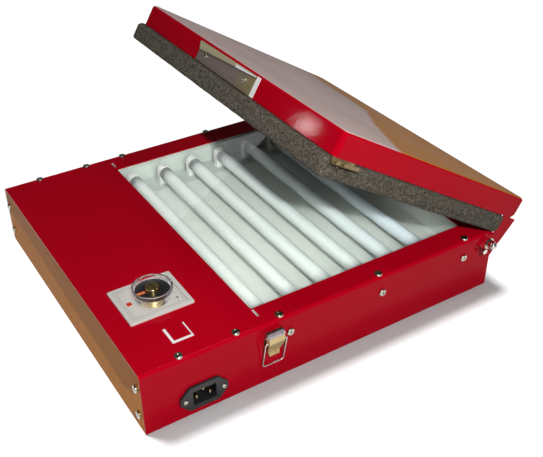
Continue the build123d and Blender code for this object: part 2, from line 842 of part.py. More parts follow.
# White U-shaped mark on the deck.
with BuildPart() as deck_mark:
    mark_low = (from_left(mark_place[0]), from_front(mark_place[1]))
    mark_high = (mark_low[0] + mark_size[0], mark_low[1] + mark_size[1])
    mark_z = (base_height, base_height + mark_thickness)
    block((*mark_low, mark_z[0]), (mark_low[0] + mark_bar, mark_high[1], mark_z[1]))
    block((*mark_low, mark_z[0]), (mark_high[0], mark_low[1] + mark_bar, mark_z[1]))
    block((mark_high[0] - mark_thin_bar, mark_low[1], mark_z[0]), (*mark_high, mark_z[1]))
save(deck_mark, "deck_mark")

# ======== Screws ========

with BuildPart() as deck_screws:
    with Locations(*deck_screw_points):
        add(screw)
save(deck_screws, "deck_screws")

with BuildPart() as wall_screws:
    for x, y, z in wall_screw_points:
        with Locations(Location((x, y, z), (90 if y < 0 else -90, 0, 0))):
            add(screw)
save(wall_screws, "wall_screws")

with BuildPart() as end_panel_screws:
    for x, y, z in panel_points:
        with Locations(Location((x, y, z), (0, 90 if x > 0 else -90, 0))):
            add(screw)
save(end_panel_screws, "end_panel_screws")

inlet_screw = pan_screw(*inlet_screw_head, screw_radius, inlet_screw_length)
with BuildPart() as inlet_screws:
    for x, y, z in inlet_screw_points:
        with Locations(Location((x, y - inlet_plate, z), (90, 0, 0))):
            add(inlet_screw)
save(inlet_screws, "inlet_screws")

with BuildPart() as bottom_screws:
    for x, y, _ in bottom_screw_points:
        with Locations((x, y, 0)):
            Cone(countersink_radius, screw_radius, sheet, align=(Align.CENTER, Align.CENTER, Align.MIN))
            Cylinder(screw_radius, screw_length, align=(Align.CENTER, Align.CENTER, Align.MIN))
save(bottom_screws, "bottom_screws")

# ======== Lid ========

with BuildPart(lid) as lid_pan:
    with BuildSketch(lid):
        with Locations((lid_length / 2, 0)):
            RectangleRounded(lid_length, 2 * lid_half, lid_corner_radius)
    extrude(amount=pan_height)
    top_edges = lid_pan.edges().group_by(Axis(lid_corner, above))[-1]
    fillet(top_edges, lid_fold_radius)
    with BuildSketch(lid):
        with Locations((lid_length / 2, 0)):
            RectangleRounded(
                lid_length - 2 * sheet, 2 * lid_half - 2 * sheet, lid_corner_radius - sheet
            )
    extrude(amount=pan_height - sheet, mode=Mode.SUBTRACT)
    for y in (-lid_half - margin, lid_half - lid_corner_radius - margin):
        with BuildSketch(side_plane(y)):
            with BuildLine():
                Polyline(
                    (-margin, -margin),
                    (-margin, lid_notch[1] + margin),
                    (0, lid_notch[1]),
                    (lid_notch[0], 0),
                    (lid_notch[0] + margin, -margin),
                    close=True,
                )
            make_face()
        extrude(amount=lid_corner_radius + 2 * margin, mode=Mode.SUBTRACT)
    handle_holes = [(lid_length, -from_front(y), height) for y, height in handle_screw_places]
    with Locations(*handle_holes):
        Cylinder(screw_hole, 4 * sheet, rotation=(0, 90, 0), mode=Mode.SUBTRACT)
save(lid_pan, "lid_pan")

with BuildPart() as lid_cover_sheet:
    with BuildSketch(lid.offset(pan_height)):
        with Locations((lid_length / 2, 0)):
            RectangleRounded(
                lid_length - 2 * cover_inset,
                2 * lid_half - 2 * cover_inset,
                lid_corner_radius - cover_inset,
            )
    extrude(amount=cover_thickness)
save(lid_cover_sheet, "lid_cover_sheet")

board_top = pan_height - sheet
board_low = board_top - board_thickness
board_half = lid_half - sheet - board_side_gap
with BuildPart(lid) as backing_board:
    board_end = lid_length - sheet - seat_gap
    block((ear_left + board_ear_gap, -board_half, board_low), (board_end, board_half, board_top))
    fillet(backing_board.edges().filter_by(Axis(lid_corner, above)), board_corner)
    with Locations(*handle_holes):
        Cylinder(screw_thread_hole, long_hole, rotation=(0, 90, 0), mode=Mode.SUBTRACT)
save(backing_board, "backing_board")

# Foam pad: wider than the rims below them, with a block that fills the pan up to the board.
foam_half = lid_half + foam_side_overhang
foam_free_end = lid_length + foam_free_overhang
closed_x = pivot_x + pivot_setback
with BuildPart(lid) as foam_pad:
    block((foam_end, -foam_half, -foam_depth), (foam_free_end, foam_half, -foam_gap))
    hinge_end = foam_pad.faces().sort_by(Axis(lid_corner, along))[0]
    chamfer(hinge_end.edges().sort_by(Axis(lid_corner, above))[0], foam_end_chamfer)
    corners = foam_pad.edges().filter_by(Axis(lid_corner, above)).group_by(Axis(lid_corner, along))
    fillet(corners[0], foam_end_corner)
    corners = foam_pad.edges().filter_by(Axis(lid_corner, above)).group_by(Axis(lid_corner, along))
    fillet(corners[-1], foam_corner)
    fillet(foam_pad.edges().group_by(Axis(lid_corner, above))[-1], foam_top_round)
    fillet(foam_pad.edges().group_by(Axis(lid_corner, above))[0], foam_bottom_round)
    plug_half = lid_half - sheet - foam_plug_inset
    plug_end = lid_length - sheet - foam_plug_inset
    block((foam_end + foam_plug_step, -plug_half, -foam_depth / 2), (plug_end, plug_half, board_low))
    for x, y, _ in deck_screw_points:
        place = closed_x - x
        if place < foam_free_end - foam_corner:
            with Locations((place, y, -foam_depth)):
                Cylinder(screw_head_radius + dent_clearance, 2 * dent_depth, mode=Mode.SUBTRACT)
    for sign in (-1, 1):
        pocket = sorted((sign * (half_width - pocket_inward), sign * (foam_half + margin)))
        pocket_end = catch_far + pocket_side
        block(
            (catch_far - catch_width - pocket_side, pocket[0], -pocket_depth),
            (pocket_end, pocket[1], 0),
            Mode.SUBTRACT,
        )
save(foam_pad, "foam_pad")

# Hinge ears: flat plates inside the front and back rims, turning about the hinge bolts.
stop_distance = hypot(*stop_offset)
stop_angle = radians(open_angle) - acos(stop_offset[0] / stop_distance)
ear_half = stop_distance * cos(stop_angle) - stop_radius - stop_clearance
ear_points = (
    (-ear_reach, -ear_top_drop),
    (ear_inner, -ear_top_drop),
    (ear_inner, ear_top),
    (ear_left, ear_top),
    (ear_left, -foam_depth - ear_heels[0]),
    (pivot_setback + ear_half, -foam_depth - ear_heels[1]),
    (pivot_setback + ear_half, -pivot_drop - ear_half),
    (pivot_setback - ear_half, -pivot_drop - ear_half),
    (pivot_setback - ear_half, -pivot_drop - ear_back_drop),
    (pivot_setback - ear_half - ear_back_slope[0], -pivot_drop + ear_back_slope[1]),
)
ear_outer = lid_overhang - sheet
ear_inner_face = ear_outer - ear_thickness
for name, sign in (("hinge_ear_front", -1), ("hinge_ear_back", 1)):
    ear_sides = sorted((out(sign, ear_outer), out(sign, ear_inner_face)))
    with BuildPart() as hinge_ear:
        with BuildSketch(side_plane(ear_sides[0])) as ear_profile:
            with BuildLine():
                Polyline(*ear_points, close=True)
            make_face()
            fillet(ear_profile.vertices().group_by(Axis.Y)[0], ear_corner)
        extrude(amount=ear_thickness)
        with Locations((pivot_x, (ear_sides[0] + ear_sides[1]) / 2, pivot_height)):
            Cylinder(bolt_radius + bolt_clearance, hole_length, rotation=(90, 0, 0), mode=Mode.SUBTRACT)
    save(hinge_ear, name)

# Catches: spot-welded inside the rims, curled outward below them for the latch loops.
# A notch lets the loop's arm through, and the plate stops short of the pan's rounded corner.
with BuildPart(lid) as catches:
    curl_out = ear_outer + catch_curl
    curl_reach = catch_curl + catch_sheet
    arm = latch_along_lid - bail_half_width
    far = Plane(origin=lid_corner + along * catch_far, x_dir=(0, 1, 0), z_dir=along * -1)
    for sign in (-1, 1):
        with BuildSketch(far):
            with Locations((out(sign, curl_out), catch_centre)):
                Circle(curl_reach)
                Circle(catch_curl, mode=Mode.SUBTRACT)
                Rectangle(
                    4 * curl_reach,
                    4 * curl_reach,
                    align=(Align.CENTER, Align.MIN),
                    mode=Mode.SUBTRACT,
                )
            with Locations((out(sign, ear_outer - catch_sheet / 2), catch_centre)):
                Rectangle(catch_sheet, catch_top - catch_centre, align=(Align.CENTER, Align.MIN))
            with Locations((out(sign, curl_out + catch_curl + catch_sheet / 2), catch_centre)):
                Rectangle(catch_sheet, catch_tip, align=(Align.CENTER, Align.MIN))
        extrude(amount=catch_width)
    for sign in (-1, 1):
        notch = sorted((-out(sign, catch_notch_inner), -out(sign, curl_out + curl_reach + margin)))
        block(
            (arm - catch_notch[0], notch[0], catch_centre - curl_reach - margin),
            (arm + catch_notch[1], notch[1], catch_centre + catch_tip + margin),
            Mode.SUBTRACT,
        )
        plate = sorted((-out(sign, ear_outer + margin), -out(sign, ear_outer - catch_sheet - margin)))
        block(
            (lid_length - lid_corner_radius, plate[0], -seat_gap),
            (lid_length, plate[1], catch_top + margin),
            Mode.SUBTRACT,
        )
save(catches, "catches")

# Handle: a strip on the free rim, its upper part folded outward along a slanting line.
rim_face = Plane(origin=lid_corner + along * lid_length, x_dir=(0, -1, 0), z_dir=along)
handle_near, handle_far = [-from_front(place) for place in handle_ends]
fold_start = rim_face.from_local_coords(Vector(handle_near, handle_fold[0], 0))
fold_end = rim_face.from_local_coords(Vector(handle_far, handle_fold[1], 0))
fold_way = (fold_start - fold_end).normalized()
fold_up = along.cross(fold_way)
fold_angle = radians(handle_fold_angle)
fold_normal = along * cos(fold_angle) - fold_up * sin(fold_angle)
fold_plane = Plane(origin=fold_start, x_dir=fold_way, z_dir=fold_normal)


def on_fold(place, height):
    """A point of the rim's face, in the plane of the handle's folded part."""
    away = rim_face.from_local_coords(Vector(place, height, 0)) - fold_start
    return (away.dot(fold_way), away.dot(fold_up))


with BuildPart() as lid_handle:
    with BuildSketch(rim_face):
        with BuildLine():
            Polyline(
                (handle_near, handle_low),
                (handle_near, handle_fold[0]),
                (handle_far, handle_fold[1]),
                (handle_far, handle_low),
                close=True,
            )
        make_face()
    extrude(amount=handle_sheet)
    with BuildSketch(fold_plane):
        with BuildLine():
            Polyline(
                on_fold(handle_near, handle_fold[0]),
                on_fold(handle_near, handle_top),
                on_fold(handle_far, handle_top),
                on_fold(handle_far, handle_fold[1]),
                close=True,
            )
        make_face()
    extrude(amount=handle_sheet)
    for y, height in handle_screw_places:
        centre = rim_face.from_local_coords(Vector(-from_front(y), height, 0))
        with Locations(Location(Plane(origin=centre, z_dir=along))):
            Cylinder(screw_hole, 4 * handle_sheet, mode=Mode.SUBTRACT)
save(lid_handle, "lid_handle")

handle_screw = pan_screw(*handle_screw_head, screw_radius, handle_screw_length)
with BuildPart() as handle_screws:
    for y, height in handle_screw_places:
        centre = rim_face.from_local_coords(Vector(-from_front(y), height, handle_sheet))
        with Locations(Location(Plane(origin=centre, z_dir=along))):
            add(handle_screw)
save(handle_screws, "handle_screws")

# White L-shaped mark: a bar on the rim beside the handle and a bar on its folded part.
with BuildPart() as handle_mark:
    mark_near = -from_front(handle_mark_start)
    with BuildSketch(rim_face):
        with Locations((mark_near, handle_low)):
            Rectangle(handle_mark_width, handle_mark_top - handle_low, align=(Align.MAX, Align.MIN))
    extrude(amount=mark_thickness)
    mark_far = -from_front(handle_mark_end)
    slope = (handle_fold[0] - handle_fold[1]) / (handle_near - handle_far)
    far_fold = handle_fold[0] + slope * (mark_far - handle_near)
    fold_margin = handle_mark_inset + handle_sheet / 2
    with BuildSketch(fold_plane.offset(handle_sheet)):
        with BuildLine():
            Polyline(
                on_fold(handle_near - handle_mark_inset, handle_fold[0] + fold_margin),
                on_fold(handle_near - handle_mark_inset, handle_top - handle_mark_inset),
                on_fold(mark_far, handle_top - handle_mark_inset),
                on_fold(mark_far, far_fold + fold_margin),
                close=True,
            )
        make_face()
    extrude(amount=mark_thickness)
save(handle_mark, "handle_mark")

# ======== Hinge bolts and stop pins ========

with BuildPart() as hinge_bolts:
    for sign in (-1, 1):
        inside = out(sign, -sheet)
        ends = sorted((inside, out(sign, lid_overhang + bolt_past_lid)))
        with Locations((pivot_x, (ends[0] + ends[1]) / 2, pivot_height)):
            Cylinder(bolt_radius, ends[1] - ends[0], rotation=(90, 0, 0))
        with BuildSketch(Plane.XZ.offset(-max(inside, inside - sign * bolt_head_height))):
            with Locations((pivot_x, pivot_height)):
                RegularPolygon(bolt_head_radius, 6)
        extrude(amount=bolt_head_height)
save(hinge_bolts, "hinge_bolts")


def ring_sketch(sign, place, near, far, inner, outer):
    """A flat ring square to the wall, at the lower Y of two distances outside it."""
    start = max(-out(sign, near), -out(sign, far))
    with BuildSketch(Plane.XZ.offset(start)) as ring:
        with Locations(place):
            Circle(outer)
            Circle(inner, mode=Mode.SUBTRACT)
    return ring.sketch


hinge_place = (pivot_x, pivot_height)
bolt_hole = bolt_radius + bolt_clearance
with BuildPart() as friction_washers:
    for sign in (-1, 1):
        spacer = ear_inner_face - 2 * running_gap
        near_wall = (running_gap, running_gap + spacer)
        extrude(ring_sketch(sign, hinge_place, *near_wall, bolt_hole, washer_radius), amount=-spacer)
save(friction_washers, "friction_washers")

washer_start = ear_outer + running_gap
washer_end = washer_start + washer_thickness
with BuildPart() as hinge_washers:
    for sign in (-1, 1):
        ring = ring_sketch(sign, hinge_place, washer_start, washer_end, bolt_hole, washer_radius)
        extrude(ring, amount=-washer_thickness)
save(hinge_washers, "hinge_washers")

with BuildPart() as hinge_nuts:
    for sign in (-1, 1):
        nut_top = washer_end + nut_height
        ends = sorted((out(sign, washer_end), out(sign, nut_top)))
        with BuildSketch(Plane.XZ.offset(-ends[1])):
            with Locations(hinge_place):
                RegularPolygon(nut_radius, 6)
        extrude(amount=nut_height)
        dome_base = (pivot_x, out(sign, nut_top - dome_foot), pivot_height)
        with BuildSketch(Plane(origin=dome_base, z_dir=(0, sign, 0))):
            Circle(dome_radius)
        extrude(amount=dome_foot + dome_rise)
        with Locations((pivot_x, out(sign, nut_top + dome_rise), pivot_height)):
            Sphere(dome_radius)
    for sign in (-1, 1):
        depth = lid_overhang + bolt_past_lid - washer_end + seat_gap
        nut_face = (pivot_x, out(sign, washer_end), pivot_height)
        with BuildSketch(Plane(origin=nut_face, z_dir=(0, sign, 0))):
            Circle(bolt_radius)
        extrude(amount=depth, mode=Mode.SUBTRACT)
save(hinge_nuts, "hinge_nuts")

with BuildPart() as stop_pins:
    for sign in (-1, 1):
        ends = sorted((out(sign, -sheet - stop_nut_height), out(sign, stop_reach)))
        with Locations((stop_x, (ends[0] + ends[1]) / 2, stop_z)):
            Cylinder(stop_radius, ends[1] - ends[0], rotation=(90, 0, 0))
        head = (stop_reach, stop_reach + stop_head_height)
        with Locations((stop_x, out(sign, sum(head) / 2), stop_z)):
            Cylinder(stop_head_radius, stop_head_height, rotation=(90, 0, 0))
save(stop_pins, "stop_pins")

with BuildPart() as stop_pin_nuts:
    for sign in (-1, 1):
        ends = sorted((out(sign, -sheet), out(sign, -sheet - stop_nut_height)))
        with BuildSketch(Plane.XZ.offset(-ends[1])):
            with Locations((stop_x, stop_z)):
                RegularPolygon(stop_nut_radius, 6)
                Circle(stop_radius, mode=Mode.SUBTRACT)
        extrude(amount=stop_nut_height)
save(stop_pin_nuts, "stop_pin_nuts")

# ======== Draw latches ========

plate_width, plate_low, plate_high = latch_plate
lever_half = lever_width / 2
ear_near = lever_half + latch_side_gap
sides = (("front", -1), ("back", 1))


def wall_profile(sign, x, points):
    """A flat shape in the YZ plane at x, from distances out of the wall and heights."""
    with BuildSketch(Plane.YZ.offset(x)) as profile:
        with BuildLine():
            Polyline(*[(out(sign, distance), height) for distance, height in points], close=True)
        make_face()
    return profile.sketch


def from_latch_pivot(points):
    """Distances out of the wall and heights, from points given from the lever's pivot."""
    return [(latch_pivot[0] + distance, latch_pivot[1] + height) for distance, height in points]


for side, sign in sides:
    with BuildPart() as latch_base:
        plate_x = (latch_x - plate_width / 2, latch_x + plate_width / 2)
        wall_block(sign, plate_x, (0, latch_sheet), (plate_low, plate_high))
        ear_low, ear_high = ear_plate_heights
        ear_shape = (
            (0, ear_low),
            (ear_plate_reach - ear_plate_chamfer, ear_low),
            (ear_plate_reach, ear_low + ear_plate_chamfer),
            (ear_plate_reach, ear_high - ear_plate_chamfer),
            (ear_plate_reach - ear_plate_chamfer, ear_high),
            (0, ear_high),
        )
        for x in (latch_x - ear_near - latch_sheet, latch_x + ear_near):
            extrude(wall_profile(sign, x, ear_shape), amount=latch_sheet, dir=(1, 0, 0))
        with Locations((latch_x, out(sign, latch_pivot[0]), latch_pivot[1])):
            Cylinder(
                lever_pin_radius + lever_pin_fit,
                long_hole,
                rotation=(0, 90, 0),
                mode=Mode.SUBTRACT,
            )
        with Locations(*[(latch_x + across, out(sign, 0), up) for across, up in rivet_places]):
            Cylinder(rivet_radius, 4 * latch_sheet, rotation=(90, 0, 0), mode=Mode.SUBTRACT)
    save(latch_base, f"latch_base_{side}")

    with BuildPart() as latch_lever:
        back_line = [(distance - latch_sheet, height) for distance, height in lever_face_line[::-1]]
        face_points = from_latch_pivot([*lever_face_line, *back_line])
        lever_face = wall_profile(sign, latch_x - lever_half, face_points)
        extrude(lever_face, amount=lever_width, dir=(1, 0, 0))
        for x in (latch_x - lever_half, latch_x + lever_half - latch_sheet):
            flange = wall_profile(sign, x, from_latch_pivot(lever_flange_line))
            extrude(flange, amount=latch_sheet, dir=(1, 0, 0))
        taper_high = latch_pivot[1] - lever_taper[0]
        taper_low = latch_pivot[1] - lever_taper[1]
        for end in (-1, 1):
            edge = latch_x + end * lever_half
            with BuildSketch(Plane.XZ.offset(-out(sign, latch_pivot[0]) - hole_length)):
                with BuildLine():
                    Polyline(
                        (edge + end * margin, taper_high),
                        (edge, taper_high),
                        (edge - end * lever_taper[2], taper_low),
                        (edge + end * margin, taper_low),
                        close=True,
                    )
                make_face()
            extrude(amount=long_hole, mode=Mode.SUBTRACT)
        with Locations((latch_x, out(sign, latch_pivot[0]), latch_pivot[1])):
            pin_hole = lever_pin_radius + lever_clearance
            Cylinder(pin_hole, long_hole, rotation=(0, 90, 0), mode=Mode.SUBTRACT)
        with Locations((latch_x, out(sign, bail_pivot[0]), bail_pivot[1])):
            bail_hole = bail_wire + lever_clearance
            Cylinder(bail_hole, long_hole, rotation=(0, 90, 0), mode=Mode.SUBTRACT)
    save(latch_lever, f"latch_lever_{side}")

    # The loop is as long as it takes to reach the catch when the lid is shut. It hangs free,
    # leaning in towards the wall.
    reach = hypot(bail_pivot[0] - bail_seat[0], closed_rim + bail_seat[1] - bail_pivot[1])
    with BuildPart() as latch_bail:
        bail_y = out(sign, bail_pivot[0])
        low_y = out(sign, bail_pivot[0] - reach * sin(radians(bail_lean)))
        low_z = bail_pivot[1] - reach * cos(radians(bail_lean))
        with BuildLine() as loop:
            corners = [
                (latch_x - bail_inward, bail_y, bail_pivot[1]),
                (latch_x - bail_half_width, bail_y, bail_pivot[1]),
                (latch_x - bail_half_width, low_y, low_z),
                (latch_x + bail_half_width, low_y, low_z),
                (latch_x + bail_half_width, bail_y, bail_pivot[1]),
                (latch_x + bail_inward, bail_y, bail_pivot[1]),
            ]
            bends = [bail_eye_bend, bail_corner, bail_corner, bail_eye_bend]
            FilletPolyline(*corners, radius=bends)
        with BuildSketch(Plane(origin=loop.wire() @ 0, z_dir=loop.wire() % 0)):
            Circle(bail_wire)
        sweep(path=loop.wire())
    save(latch_bail, f"latch_bail_{side}")

with BuildPart() as latch_pins:
    ear_face = ear_near + latch_sheet
    head_radius, head_height = lever_pin_head
    for _, sign in sides:
        pin_y = out(sign, latch_pivot[0])
        with Locations((latch_x, pin_y, latch_pivot[1])):
            Cylinder(lever_pin_radius, 2 * (ear_face + head_height), rotation=(0, 90, 0))
        for end in (-1, 1):
            head_x = latch_x + end * (ear_face + seat_gap + head_height / 2)
            with Locations((head_x, pin_y, latch_pivot[1])):
                Cylinder(head_radius, head_height, rotation=(0, 90, 0))
save(latch_pins, "latch_pins")

with BuildPart() as latch_rivets:
    head_radius, head_height = rivet_head
    for _, sign in sides:
        for across, up in rivet_places:
            stretches = (
                (-sheet - rail_sheet, latch_sheet, rivet_radius),
                (latch_sheet, latch_sheet + head_height, head_radius),
                (-sheet - rail_sheet - head_height, -sheet - rail_sheet, head_radius),
            )
            for near, far, radius in stretches:
                with Locations((latch_x + across, out(sign, (near + far) / 2), up)):
                    Cylinder(radius, far - near, rotation=(90, 0, 0))
save(latch_rivets, "latch_rivets")
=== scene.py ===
# %% [markdown]
# This exposure unit is a low red box of folded sheet with six tube lamps under glass, and a
# hinged lid that carries a foam pad. The CAD model gives every part its shape and place. This
# script gives the parts their finishes, makes the foam, and lights and frames the scene.

import json
import math

import bmesh
import bpy
from mathutils import Matrix, Vector, noise


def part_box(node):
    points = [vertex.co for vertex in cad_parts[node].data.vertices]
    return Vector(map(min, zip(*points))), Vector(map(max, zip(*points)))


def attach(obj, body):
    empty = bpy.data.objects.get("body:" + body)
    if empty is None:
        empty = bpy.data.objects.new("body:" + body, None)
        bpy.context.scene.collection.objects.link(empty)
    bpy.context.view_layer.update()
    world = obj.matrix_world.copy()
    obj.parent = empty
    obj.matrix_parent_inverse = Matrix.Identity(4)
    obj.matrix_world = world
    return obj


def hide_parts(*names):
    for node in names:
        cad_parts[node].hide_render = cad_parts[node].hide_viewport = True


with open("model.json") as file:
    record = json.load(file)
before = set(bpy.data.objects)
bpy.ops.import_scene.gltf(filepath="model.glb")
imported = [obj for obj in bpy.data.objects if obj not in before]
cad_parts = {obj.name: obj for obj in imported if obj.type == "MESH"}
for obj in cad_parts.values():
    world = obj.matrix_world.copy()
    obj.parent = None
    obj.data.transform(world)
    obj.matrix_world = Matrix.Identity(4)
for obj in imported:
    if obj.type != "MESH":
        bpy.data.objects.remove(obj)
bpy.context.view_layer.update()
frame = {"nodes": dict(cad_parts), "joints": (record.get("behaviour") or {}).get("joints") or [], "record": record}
nodes = frame["nodes"]
print("parts loaded:", len(nodes))

# %% [markdown]
# The camera takes the photo's own viewpoint: in front, to the left and above. Its place, aim
# and lens were solved from the box's corners, so the render can be laid over the photo.

# %% Camera
view_along = Vector((0.43728, 0.70100, -0.56338)).normalized()
photo_up = Vector((0.30401, 0.47435, 0.82618))
view_right = view_along.cross(photo_up).normalized()
view_up = view_right.cross(view_along)
camera_place = Vector((-0.3873, -0.6899, 0.5781))
lens = bpy.data.cameras.new("photo_camera")
lens.lens = 55.53
lens.sensor_width = 36
lens.shift_x = 0.0005
lens.shift_y = 0.0056
lens.clip_start = 0.01
camera = bpy.data.objects.new("photo_camera", lens)
camera_turn = Matrix((view_right, view_up, -view_along)).transposed()
camera.matrix_world = Matrix.Translation(camera_place) @ camera_turn.to_4x4()
bpy.context.scene.collection.objects.link(camera)
bpy.context.scene.camera = camera
bpy.context.scene.view_settings.view_transform = "Standard"
print("camera at", [round(place, 3) for place in camera.location])

# %% [markdown]
# Three lamps light the unit. A small flash to the right of the camera throws the lid's shadow
# onto the tubes, and its light falls off towards the far end. A large softbox overhead fills the
# deck. A small softbox low behind makes the bright spot on the lid's free rim.


# %% Lamps of the studio
def studio_lamp(name, kind, energy, place, target, **settings):
    """A lamp at a place, turned to face the target."""
    lamp = bpy.data.lights.new(name, kind)
    lamp.energy = energy
    for setting, value in settings.items():
        setattr(lamp, setting, value)
    stand = bpy.data.objects.new(name, lamp)
    stand.location = place
    stand.rotation_euler = (Vector(target) - Vector(place)).to_track_quat("-Z", "Y").to_euler()
    bpy.context.scene.collection.objects.link(stand)
    return stand


flash_target = Vector((0.02, 0.0, 0.07))
flash_way = Vector((0.29, 0.745, -0.60))
flash_distance = 1.2
flash_place = flash_target - flash_distance * flash_way
studio_lamp("flash", "AREA", 10.6, flash_place, flash_target, size=0.03)
studio_lamp("large_softbox", "AREA", 4.2, (0.5, -0.1, 1.7), (0, 0, 0), size=0.5)
studio_lamp("rim_softbox", "AREA", 0.6, (-1.277, 1.322, 0.731), (0, -0.14, 0.237), size=0.05)
print("studio lamps:", [light.name for light in bpy.data.lights])

# %% [markdown]
# A finish is a tree of shader nodes. Wrapping a socket in a small class lets sums on it be
# written as plain Python, such as 1 - mask, and each sum adds its Math node. Every other node
# comes from one method, which sets the node's options first and then its sockets.


# %% Writing finishes as sums
class Wire:
    """One socket in a finish's nodes."""

    def __init__(self, finish, socket):
        self.finish = finish
        self.socket = socket

    def __add__(self, other):
        return self.finish.sum("ADD", self, other)

    def __sub__(self, other):
        return self.finish.sum("SUBTRACT", self, other)

    def __mul__(self, other):
        return self.finish.sum("MULTIPLY", self, other)

    def __rsub__(self, other):
        return self.finish.sum("SUBTRACT", other, self)

    __radd__ = __add__
    __rmul__ = __mul__


class Finish:
    """A material and the nodes that make it."""

    def __init__(self, name):
        self.material = bpy.data.materials.new(name)
        self.material.use_nodes = True
        self.tree = self.material.node_tree
        self.tree.nodes.clear()
        self.output = self.tree.nodes.new("ShaderNodeOutputMaterial")
        self.surface = self.tree.nodes.new("ShaderNodeBsdfPrincipled")
        self.tree.links.new(self.surface.outputs[0], self.output.inputs[0])
        self.place = self.node("ShaderNodeTexCoord", output="Object")

    def node(self, kind, settings=None, inputs=None, output=0):
        """Adds a node: its settings first, and then its sockets' values or wires."""
        made = self.tree.nodes.new(kind)
        for name, setting in (settings or {}).items():
            if name == "stops":
                steps = made.color_ramp.elements
                steps.remove(steps[1])
                steps[0].position, steps[0].color = setting[0][0], (*setting[0][1], 1)
                for place, colour in setting[1:]:
                    steps.new(place).color = (*colour, 1)
            else:
                setattr(made, name, setting)
        for name, value in (inputs or {}).items():
            self.plug(made.inputs[name], value)
        return Wire(self, made.outputs[output])

    def plug(self, socket, value):
        """Links a wire to a socket, or sets the socket to a value."""
        if isinstance(value, Wire):
            self.tree.links.new(value.socket, socket)
        elif isinstance(value, tuple) and len(socket.default_value) == 4:
            socket.default_value = (*value, 1)
        else:
            socket.default_value = value

    def sum(self, operation, *values):
        """One Math node on values or wires."""
        return self.node("ShaderNodeMath", {"operation": operation}, dict(enumerate(values)))

    def paint(self, **sockets):
        """Sets or links the surface's sockets, by their names."""
        for name, value in sockets.items():
            self.plug(self.surface.inputs[name.replace("_", " ")], value)

    def axis(self, name):
        """Where each point lies along X, Y or Z, in metres."""
        return self.node("ShaderNodeSeparateXYZ", inputs={0: self.place}, output=name)

    def along(self, direction, start):
        """How far each point lies from a start, along a direction."""
        way = self.node("ShaderNodeVectorMath", {"operation": "SUBTRACT"}, {0: self.place, 1: start})
        dot = {"operation": "DOT_PRODUCT"}
        return self.node("ShaderNodeVectorMath", dot, {0: way, 1: direction}, output="Value")

    def grain(self, scale, detail=3.0, stretch=(1.0, 1.0, 1.0)):
        """Noise from 0 to 1, drawn out along the axes whose stretch is small."""
        times = {"operation": "MULTIPLY"}
        place = self.node("ShaderNodeVectorMath", times, {0: self.place, 1: stretch})
        knobs = {"Vector": place, "Scale": scale, "Detail": detail}
        return self.node("ShaderNodeTexNoise", inputs=knobs)

    def rise(self, value, low, high):
        """0 below low, 1 above high and smooth between them."""
        smooth = {"interpolation_type": "SMOOTHSTEP"}
        ends = {"Value": value, "From Min": low, "From Max": high}
        return self.node("ShaderNodeMapRange", smooth, ends)

    def within(self, value, inner, outer):
        """1 where a value is under inner on either side of 0, and 0 beyond outer."""
        return self.rise(value * value, outer**2, inner**2)

    def ramp(self, value, *stops):
        """The colour at a value, between stops that each have a place and a colour."""
        return self.node("ShaderNodeValToRGB", {"stops": stops}, {0: value})

    def line(self, value, *points):
        """A bent line through points, each of both numbers from 0 to 1."""
        return self.ramp(value, *[(across, (up, up, up)) for across, up in points])

    def mix(self, part, low, high):
        """The colour low where part is 0, high where it is 1, and between them elsewhere."""
        colours = {0: part, 6: low, 7: high}
        return self.node("ShaderNodeMix", {"data_type": "RGBA"}, colours, output=2)

    def bump(self, height, strength, distance):
        """Makes the light fall as if the surface rose by a height."""
        knobs = {"Height": height, "Strength": strength, "Distance": distance}
        self.paint(Normal=self.node("ShaderNodeBump", inputs=knobs))


print("finish helpers ready")

# %% [markdown]
# The floor is a plain white sweep with the box's soft shadow beside its front and right sides.
# A lamp that lights only the floor keeps it white, so no more light than needed falls on the
# unit, and only the box's wrap stops that lamp. Light linking in Blender makes both choices,
# with one collection of receivers and one of blockers.


# %% Floor and surroundings
def seen_part(finish):
    """1 for rays that come from the camera, a gloss or a glass, and 0 for others."""
    path = finish.tree.nodes.new("ShaderNodeLightPath")
    camera_ray, glossy_ray, glass_ray = [
        Wire(finish, path.outputs[f"Is {kind} Ray"]) for kind in ("Camera", "Glossy", "Transmission")
    ]
    return finish.node("ShaderNodeClamp", inputs={0: camera_ray + glossy_ray + glass_ray})


floor_reach, floor_drop = 5, 0.0005
floor_mesh = bpy.data.meshes.new("floor")
corners = [
    (across * floor_reach, away * floor_reach, -floor_drop)
    for across, away in ((-1, -1), (1, -1), (1, 1), (-1, 1))
]
floor_mesh.from_pydata(corners, [], [(0, 1, 2, 3)])
floor = bpy.data.objects.new("floor", floor_mesh)
bpy.context.scene.collection.objects.link(floor)
floor_finish = Finish("floor_white")
unseen_grey, seen_grey = (0.10, 0.10, 0.10), (0.46, 0.46, 0.46)
floor_finish.paint(
    Base_Color=floor_finish.mix(seen_part(floor_finish), unseen_grey, seen_grey),
    Roughness=0.9,
    Specular_IOR_Level=0.0,
)
floor_mesh.materials.append(floor_finish.material)


def group_of(name, thing):
    """A collection of one thing."""
    group = bpy.data.collections.new(name)
    group.objects.link(thing)
    return group


floor_way = Vector((0.18, -0.34, -0.92))
floor_lamp_angle = math.radians(15)
floor_lamp = studio_lamp("floor_lamp", "SUN", 6.5, -floor_way, (0, 0, 0), angle=floor_lamp_angle)
floor_lamp.light_linking.receiver_collection = group_of("lit_by_floor_lamp", floor)
floor_lamp.light_linking.blocker_collection = group_of("stops_floor_lamp", nodes["housing_wrap"])

